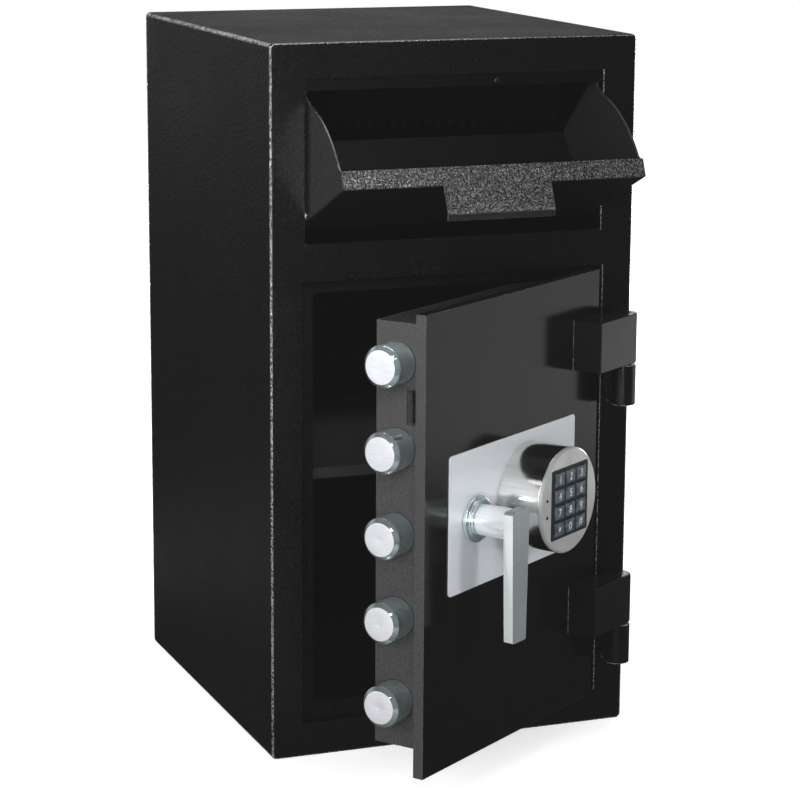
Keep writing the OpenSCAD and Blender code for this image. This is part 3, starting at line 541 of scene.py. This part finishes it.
# Turns a side outline of (along, radius) points about the X axis
def lathe(name, outline, steps, material):
    shape = bmesh.new()
    rings = []
    for along, radius in outline:
        if radius == 0:
            rings.append([shape.verts.new((along, 0, 0))])
            continue
        ring = []
        for step in range(steps):
            turn = 2 * math.pi * step / steps
            ring.append(shape.verts.new((along, radius * math.cos(turn), radius * math.sin(turn))))
        rings.append(ring)
    for first, second in zip(rings, rings[1:]):
        for step in range(steps):
            after = (step + 1) % steps
            if len(first) == 1:
                corners = (first[0], second[after], second[step])
            elif len(second) == 1:
                corners = (first[step], first[after], second[0])
            else:
                corners = (first[step], first[after], second[after], second[step])
            face = shape.faces.new(corners)
            face.smooth = True
    bmesh.ops.recalc_face_normals(shape, faces=shape.faces)
    mesh = bpy.data.meshes.new(name)
    shape.to_mesh(mesh)
    shape.free()
    mesh.materials.append(material)
    return mesh


# Geometry tree that sets one piece at every point of a mesh and joins the result
def buildSetAtPoints():
    tree = bpy.data.node_groups.new("setAtPoints", "GeometryNodeTree")
    sockets = tree.interface
    sockets.new_socket(name="Points", in_out="INPUT", socket_type="NodeSocketGeometry")
    sockets.new_socket(name="Piece", in_out="INPUT", socket_type="NodeSocketObject")
    sockets.new_socket(name="Turn", in_out="INPUT", socket_type="NodeSocketRotation")
    size = sockets.new_socket(name="Size", in_out="INPUT", socket_type="NodeSocketFloat")
    size.default_value = 1.0
    sockets.new_socket(name="Finish", in_out="INPUT", socket_type="NodeSocketMaterial")
    sockets.new_socket(name="End Finish", in_out="INPUT", socket_type="NodeSocketMaterial")
    sockets.new_socket(name="Result", in_out="OUTPUT", socket_type="NodeSocketGeometry")
    given = tree.nodes.new("NodeGroupInput")
    out = tree.nodes.new("NodeGroupOutput")
    piece = tree.nodes.new("GeometryNodeObjectInfo")
    copies = tree.nodes.new("GeometryNodeInstanceOnPoints")
    joined = tree.nodes.new("GeometryNodeRealizeInstances")
    allOver = tree.nodes.new("GeometryNodeSetMaterial")
    atEnd = tree.nodes.new("GeometryNodeSetMaterial")
    endFaces = tree.nodes.new("GeometryNodeInputNamedAttribute")
    endFaces.data_type = "BOOLEAN"
    endFaces.inputs["Name"].default_value = "endFace"
    link = tree.links.new
    link(given.outputs["Piece"], piece.inputs["Object"])
    link(given.outputs["Points"], copies.inputs["Points"])
    link(piece.outputs["Geometry"], copies.inputs["Instance"])
    link(given.outputs["Turn"], copies.inputs["Rotation"])
    link(given.outputs["Size"], copies.inputs["Scale"])
    link(copies.outputs["Instances"], joined.inputs["Geometry"])
    link(joined.outputs["Geometry"], allOver.inputs["Geometry"])
    link(given.outputs["Finish"], allOver.inputs["Material"])
    link(allOver.outputs["Geometry"], atEnd.inputs["Geometry"])
    link(endFaces.outputs["Attribute"], atEnd.inputs["Selection"])
    link(given.outputs["End Finish"], atEnd.inputs["Material"])
    link(atEnd.outputs["Geometry"], out.inputs["Result"])
    return tree


setAtPoints = buildSetAtPoints()


# A row of equal pieces; faces marked endFace get the second material
def repeated(name, prototype, spots, turn, material, endMaterial, place):
    source = onScene("prototype", prototype)
    dots = bpy.data.meshes.new("spots")
    dots.from_pydata(spots, [], [])
    row = onScene("row", dots)
    modifier = row.modifiers.new("row", "NODES")
    modifier.node_group = setAtPoints
    values = {"Piece": source, "Turn": turn, "Size": 1.0, "Finish": material, "End Finish": endMaterial}
    for item in setAtPoints.interface.items_tree:
        if item.in_out == "INPUT" and item.name in values:
            modifier[item.identifier] = values[item.name]
    mesh = plainMesh(row)
    discard(row)
    discard(source)
    mesh.transform(place)
    return onScene(name, mesh)


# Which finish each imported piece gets, and how far its edges are rounded, in millimetres
roundings = {
    "body_wrap": (blackCoat, 0.6), "back_panel": (blackCoat, 0.8), "front_frame": (frameCoat, 0.8),
    "door_jamb": (blackCoat, 0.5), "strike_bar": (blackCoat, 0.5), "deposit_floor": (innerCoat, 0.5),
    "hopper_header": (blackCoat, 0.4), "hopper_brackets": (blackCoat, 0.5),
    "anti_fish_baffle": (baffleCoat, 0.3), "tray_bumpers": (bumperRubber, 1.2), "shelf": (innerCoat, 0.4),
    "shelf_brackets": (innerCoat, 0.4), "lower_hinge_barrel": (hingeCoat, 0.8),
    "upper_hinge_barrel": (hingeCoat, 0.8), "hinge_pins": (zincSteel, 0.3),
    "hinge_washers": (plainBrass, 0.2), "hopper_plate": (hopperCoat, 0.4), "hopper_lip": (wrinkleCoat, 0.5),
    "hopper_cheek_left": (cheekCoat, 0.5), "hopper_cheek_right": (innerCoat, 0.5),
    "hopper_tray": (hopperCoat, 0.4), "hopper_pivot_pins": (zincSteel, 0.3), "door_plate": (doorCoat, 0.8),
    "bolt_box": (boxCoat, 0.4), "bolt_guide_bar": (zincSteel, 0.4), "box_cover": (boxCoat, 0.5),
    "lower_hinge_leaf": (hingeCoat, 0.8), "upper_hinge_leaf": (hingeCoat, 0.8), "dead_bar": (zincSteel, 0.8),
    "lock_trim_plate": (brushedTrim, 0.35), "keypad_housing": (polishedNickel, 0.4),
    "keypad_face": (satinNickel, 0.3), "keypad_panel": (panelPlastic, 0.15), "led_lenses": (smokedLens, 0.15),
    "handle_rose": (boltChrome, 0.8), "lock_case": (zincSteel, 0.6), "handle_lever": (leverChrome, 1.4),
    "spindle": (zincSteel, 0.3), "crank": (zincSteel, 0.4), "bolt_carrier": (zincSteel, 0.5),
    "drive_plate": (zincSteel, 0.4), "lock_bolt": (zincSteel, 0.5),
}
for name, (material, width) in roundings.items():
    rounded(name, material, width)


# Gives some faces of a dressed piece a second finish; here the lighter copies paint light and the darker ones
# paint shade
def repaint(name, coat, wanted):
    mesh = bpy.data.objects[name].data
    mesh.materials.append(coat)
    for face in mesh.polygons:
        if wanted(face):
            face.material_index = len(mesh.materials) - 1


# The lever's shank lies behind the first depth, the pull tab's bent end in front of the second
shankFrom = -40.2
tabBend = -25.8


def onShankOrSide(face):
    return (doorBack @ face.center).y > shankFrom or (doorTurnBack @ face.normal).x < -0.9


def onFreeEdge(face):
    return (doorTurnBack @ face.normal).x < -0.95


def onTop(face):
    return face.normal.z > 0.95


def onTabEnd(face):
    return (hopperBack @ face.center).y < tabBend


# Painted light on the lever's shank and its left-facing sides
repaint("handleLever", shankChrome, onShankOrSide)
# Painted light on the door plate's free edge
repaint("doorPlate", boxCoat, onFreeEdge)
# Painted shade: the bolt box's top takes a darker copy than the box's sides
repaint("boltBox", innerCoat, onTop)
# Painted shade on the pull tab's bent-under end
repaint("hopperLip", tabEndCoat, onTabEnd)
keyRounding = 0.35
for name in nodes:
    if name.startswith("key_"):
        rounded(name, keyPlastic, keyRounding)
print("packed pieces rounded and dressed")

turnedSharp = math.radians(35)  # edges of turned pieces that bend more than this stay sharp

# Five round bolts: chromed sides, and ends turned bright with a chamfer and a centre mark
bolt = {
    "tip": 30, "length": 48, "radius": 19.5, "nose": 4, "y": 47, "top": 411, "pitch": 79, "count": 5,
    "markDeep": 0.7, "markWide": 1.5, "endDeep": 0.5, "steps": 96,
}


def makeBolts():
    radius = bolt["radius"]
    nose = bolt["nose"]
    flat = radius - nose  # radius of the end's flat part
    outline = [(bolt["markDeep"], 0), (0.15, 1.0), (0, bolt["markWide"])]
    outline += [(0, flat - 0.35), (0.08, flat - 0.1), (0.3, flat + 0.15)]  # soft corner round the flat part
    outline += [(nose - 0.3, radius - 0.2), (nose - 0.05, radius - 0.04), (nose + 0.3, radius)]
    outline += [(bolt["length"], radius), (bolt["length"], 0)]
    mesh = lathe("roundBolt", outline, bolt["steps"], boltChrome)
    mark = mesh.attributes.new("endFace", "BOOLEAN", "FACE")
    ends = []
    for face in mesh.polygons:
        ends.append(face.center.x < bolt["endDeep"] and face.normal.x < -0.5)
    mark.data.foreach_set("value", ends)
    mesh.set_sharp_from_angle(angle=turnedSharp)
    spots = [(bolt["tip"], bolt["y"], bolt["top"] - bolt["pitch"] * step) for step in range(bolt["count"])]
    piece = repeated("roundBolts", mesh, spots, (0, 0, 0), boltChrome, boltEnd, onDoor)
    names = ["bolt_%d" % (step + 1) for step in range(bolt["count"])]
    standIn(piece, *names)


makeBolts()
print("bolts made")

# Pan-head screws with a cross recess
screw = {"shank": 2, "head": 4, "dome": 2.2, "slotWide": 1.0, "slotLong": 4.6, "slotDeep": 1.3, "steps": 32}
coverScrew = {"x": (75, 188, 300), "y": 69.5, "z": (58.5, 441), "long": 12}
headerScrew = {"at": (227, 3.0, 645.2), "long": 4}


def screwMesh(shankLength):
    head = screw["head"]
    dome = screw["dome"]
    crown = ((0.98, 0.3), (0.86, 0.62), (0.6, 0.88), (0.25, 1.0))  # shares of the dome and of the head
    outline = [(-dome, 0)]
    outline += [(-dome * up, head * across) for up, across in crown]
    outline += [(0, head), (0, screw["shank"]), (shankLength, screw["shank"]), (shankLength, 0)]
    body = onScene("draft", lathe("panScrew", outline, screw["steps"], zincSteel))
    cutter = bmesh.new()
    slot = (screw["slotWide"], screw["slotLong"])
    for wide, long in (slot, slot[::-1]):
        place = Matrix.Translation((-dome, 0, 0)) @ Matrix.Diagonal((2 * screw["slotDeep"], wide, long, 1))
        bmesh.ops.create_cube(cutter, size=1, matrix=place)
    cutMesh = bpy.data.meshes.new("cross")
    cutter.to_mesh(cutMesh)
    cutter.free()
    cross = onScene("cross", cutMesh)
    cutAway = body.modifiers.new("recess", "BOOLEAN")
    cutAway.object = cross
    cutAway.solver = "EXACT"
    cutAway.use_self = True
    mesh = plainMesh(body)
    discard(body)
    discard(cross)
    mesh.set_sharp_from_angle(angle=turnedSharp)
    return mesh


def makeScrews():
    spots = [(x, coverScrew["y"], z) for x in coverScrew["x"] for z in coverScrew["z"]]
    fromBehind = (0, 0, math.radians(-90))
    fromFront = (0, 0, math.radians(90))
    steel = screwMesh(coverScrew["long"])
    cover = repeated("coverScrews", steel, spots, fromBehind, zincSteel, zincSteel, onDoor)
    standIn(cover, "box_cover_screws")
    black = screwMesh(headerScrew["long"])
    header = repeated("headerScrew", black, [headerScrew["at"]], fromFront, hingeCoat, hingeCoat, onCabinet)
    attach(header, "cabinet")


makeScrews()
print("screws made")

# Light figures on the keys
figures = {"size": 10.26, "bold": 0.12, "lift": 0.06}


def makeFigures():
    labels = ["1", "2", "3", "4", "5", "6", "7", "8", "9", "*", "0", "#"]
    keyNames = ["key_%d" % n for n in range(1, 10)] + ["key_star", "key_0", "key_hash"]
    for place, (label, key) in enumerate(zip(labels, keyNames)):
        curve = bpy.data.curves.new("figure", "FONT")
        curve.body = label
        curve.size = figures["size"]
        curve.align_x = "CENTER"
        curve.offset = figures["bold"]
        draft = bpy.data.objects.new("figure", curve)
        bpy.context.scene.collection.objects.link(draft)
        mesh = plainMesh(draft)
        bpy.data.objects.remove(draft)
        low = min(v.co.y for v in mesh.vertices)
        high = max(v.co.y for v in mesh.vertices)
        x = keypad["x"] + (place % 3 - 1) * keypad["stepX"]
        z = keypad["z"] + (1.5 - place // 3) * keypad["stepZ"]
        middle = Matrix.Translation((0, -(low + high) / 2, 0))
        upright = Matrix.Translation((x, keypad["keyFront"] - figures["lift"], z))
        mesh.transform(onDoor @ upright @ Matrix.Rotation(math.radians(90), 4, "X") @ middle)
        mesh.materials.clear()
        mesh.materials.append(legendInk)
        piece = onScene("figureOn" + plainName(key).replace("key", "Key"), mesh)
        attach(piece, key)


makeFigures()
print("key figures made")


# Floor, lights and camera

def mirrorRay(tree):
    path = tree.nodes.new("ShaderNodeLightPath")
    return maths(tree, "MAXIMUM", path.outputs["Is Glossy Ray"], path.outputs["Is Transmission Ray"])


# How bright the pale floor is: as seen by the camera close by, and as paint and metal mirror it, with painted
# shadow near the safe
floorTone = {
    "color": 0.8, "lift": 0.6, "mirrorNear": 0.06, "mirrorFar": 1.0,
    "mirrorLeft": 0.7, "mirrorBehind": 0.05, "mirrorAhead": 0.06,
}
# Between which places each of these changes, in metres from the floor's middle
floorReach = {
    "lift": (0.5, 1.6), "left": (-0.9, 0.4), "behind": (0.1, 0.9), "ahead": (-1.05, -0.5),
    "leftNear": (0.3, 1.1), "rightNear": (1.05, 1.4), "middle": (-0.1, 0.1),
}
floorHalf = 6.0


def makeFloor():
    mesh = bpy.data.meshes.new("floor")
    corners = [(x * floorHalf, y * floorHalf, 0) for x, y in ((-1, -1), (1, -1), (1, 1), (-1, 1))]
    mesh.from_pydata(corners, [], [(0, 1, 2, 3)])
    floor = onScene("studioFloor", mesh)
    material = bpy.data.materials.new("paleFloor")
    material.use_nodes = True
    tree = material.node_tree
    shader = tree.nodes["Principled BSDF"]
    shader.inputs["Base Color"].default_value = grey(floorTone["color"])
    shader.inputs["Roughness"].default_value = 0.9
    shader.inputs["Specular IOR Level"].default_value = 0.1
    shader.inputs["Emission Color"].default_value = (1, 1, 1, 1)
    place = objectPlace(tree)
    away = tree.nodes.new("ShaderNodeVectorMath")
    away.operation = "LENGTH"
    tree.links.new(place, away.inputs[0])
    distance = away.outputs["Value"]
    far = remap(tree, distance, *floorReach["lift"], floorTone["lift"], 1.0)
    seen = tree.nodes.new("ShaderNodeLightPath").outputs["Is Camera Ray"]
    tree.links.new(maths(tree, "MULTIPLY", seen, far), shader.inputs["Emission Strength"])
    split = tree.nodes.new("ShaderNodeSeparateXYZ")
    tree.links.new(place, split.inputs[0])
    # Painted shade to the left, behind and far in front, and painted shadow close to the safe, which only
    # reflections show
    left = remap(tree, split.outputs["X"], *floorReach["left"], floorTone["mirrorLeft"], 1.0)
    back = remap(tree, split.outputs["Y"], *floorReach["behind"], 1.0, floorTone["mirrorBehind"])
    front = remap(tree, split.outputs["Y"], *floorReach["ahead"], floorTone["mirrorAhead"], 1.0)
    side = maths(tree, "MULTIPLY", left, maths(tree, "MULTIPLY", back, front))
    nearToFar = (floorTone["mirrorNear"], floorTone["mirrorFar"])
    leftDepth = remap(tree, distance, *floorReach["leftNear"], *nearToFar)
    rightDepth = remap(tree, distance, *floorReach["rightNear"], *nearToFar)
    onRight = remap(tree, split.outputs["X"], *floorReach["middle"])
    onLeft = maths(tree, "SUBTRACT", 1.0, onRight)
    leftPart = maths(tree, "MULTIPLY", leftDepth, onLeft)
    rightPart = maths(tree, "MULTIPLY", rightDepth, onRight)
    depth = maths(tree, "ADD", leftPart, rightPart)
    glow = tree.nodes.new("ShaderNodeEmission")
    tree.links.new(maths(tree, "MULTIPLY", side, depth), glow.inputs["Strength"])
    choice = tree.nodes.new("ShaderNodeMixShader")
    tree.links.new(mirrorRay(tree), choice.inputs[0])
    tree.links.new(shader.outputs[0], choice.inputs[1])
    tree.links.new(glow.outputs[0], choice.inputs[2])
    tree.links.new(choice.outputs[0], tree.nodes["Material Output"].inputs["Surface"])
    mesh.materials.append(material)


# How bright the room is: as plain light, and as mirrored in front, behind, to the left and overhead
worldTone = {
    "ambient": 0.3, "mirrorFront": 0.08, "mirrorBehind": 0.3, "mirrorLeft": 0.75, "mirrorAbove": 0.05,
}
# Between which directions each of these changes, as parts of a ray of length one
worldReach = {"behind": (0.1, 0.7), "left": (-0.97, -0.75), "above": (0.4, 0.6)}


def makeWorld():
    world = bpy.data.worlds.new("studioWorld")
    bpy.context.scene.world = world
    world.use_nodes = True
    tree = world.node_tree
    background = tree.nodes["Background"]
    background.inputs["Color"].default_value = (1, 1, 1, 1)
    split = tree.nodes.new("ShaderNodeSeparateXYZ")
    tree.links.new(tree.nodes.new("ShaderNodeTexCoord").outputs["Generated"], split.inputs[0])
    frontToBack = (worldTone["mirrorFront"], worldTone["mirrorBehind"])
    ahead = remap(tree, split.outputs["Y"], *worldReach["behind"], *frontToBack)
    around = remap(tree, split.outputs["X"], *worldReach["left"], worldTone["mirrorLeft"], ahead)
    mirrored = remap(tree, split.outputs["Z"], *worldReach["above"], around, worldTone["mirrorAbove"])
    mirror = mirrorRay(tree)
    seen = tree.nodes.new("ShaderNodeLightPath").outputs["Is Camera Ray"]
    plain = maths(tree, "MAXIMUM", seen, worldTone["ambient"])
    step = maths(tree, "MULTIPLY", mirror, maths(tree, "SUBTRACT", mirrored, plain))
    tree.links.new(maths(tree, "ADD", plain, step), background.inputs["Strength"])


# Lamps, in metres and watts: the low one gives the hopper's cheek its sheen, the key one lights the
# hopper's lip, the right one the trim plate, and the rear one the back and the right side
lamps = {
    "front": {"at": (-0.9, -2.7, 1.0), "to": (0, -0.2, 0.35), "wide": 0.9, "tall": 0.9, "power": 20},
    "low": {"at": (-1.12, -2.65, 0.25), "to": (-0.15, -0.2, 0.55), "wide": 0.6, "tall": 0.5, "power": 12},
    "overhead": {"at": (0.1, 0.1, 2.3), "to": (0, 0, 0.3), "wide": 1.6, "tall": 1.2, "power": 26},
    "key": {"at": (-0.7, -1.6, 1.5), "to": (-0.32, -0.35, 0.67), "wide": 0.4, "tall": 0.4, "power": 1.2},
    "right": {"at": (1.0, -1.3, 0.6), "to": (-0.02, -0.35, 0.2), "wide": 0.3, "tall": 0.3, "power": 0.3},
    "rear": {"at": (1.9, 1.9, 0.33), "to": (0.1, 0.1, 0.33), "wide": 1.4, "tall": 0.6, "power": 40},
    "left": {"at": (-2.9, -2.6, 1.5), "to": (0, -0.2, 0.3), "wide": 1.4, "tall": 1.9, "power": 84},
}
beams = {"key": 18, "right": 30}  # narrow beams, in degrees
wideBeam = 180
notMirrored = ("front", "right")


def makeLamps():
    for name, lamp in lamps.items():
        light = bpy.data.lights.new(name, "AREA")
        light.shape = "RECTANGLE"
        light.size = lamp["wide"]
        light.size_y = lamp["tall"]
        light.energy = lamp["power"]
        light.spread = math.radians(beams.get(name, wideBeam))
        holder = bpy.data.objects.new(name, light)
        bpy.context.scene.collection.objects.link(holder)
        holder.location = lamp["at"]
        holder.visible_glossy = name not in notMirrored
        aim = Vector(lamp["to"]) - Vector(lamp["at"])
        holder.rotation_euler = aim.to_track_quat("-Z", "Y").to_euler()


# The camera's place in millimetres, its turn in degrees and its lens, fitted to the cabinet's edges
view = {
    "x": -977.1, "y": -2566.1, "z": 894.0, "azimuth": 21.30, "down": 12.21, "roll": 0.355,
    "lens": 122.75, "sensor": 36, "near": 0.05, "far": 50,
}


def makeCamera():
    azimuth = math.radians(view["azimuth"])
    down = math.radians(view["down"])
    roll = math.radians(view["roll"])
    level = math.cos(down)
    ahead = Vector((math.sin(azimuth) * level, math.cos(azimuth) * level, -math.sin(down)))
    right = Vector((math.cos(azimuth), -math.sin(azimuth), 0))
    up = right.cross(ahead)
    side = right * math.cos(roll) + up * math.sin(roll)
    top = up * math.cos(roll) - right * math.sin(roll)
    turn = Matrix((side, top, -ahead)).transposed().to_4x4()
    data = bpy.data.cameras.new("photoView")
    data.lens = view["lens"]
    data.sensor_width = view["sensor"]
    data.clip_start = view["near"]
    data.clip_end = view["far"]
    camera = bpy.data.objects.new("photoView", data)
    bpy.context.scene.collection.objects.link(camera)
    camera.matrix_world = Matrix.Translation(Vector((view["x"], view["y"], view["z"])) * mm) @ turn
    bpy.context.scene.camera = camera


makeFloor()
makeWorld()
makeLamps()
makeCamera()
bpy.context.scene.view_settings.view_transform = "Standard"
print("floor, lights and camera set")
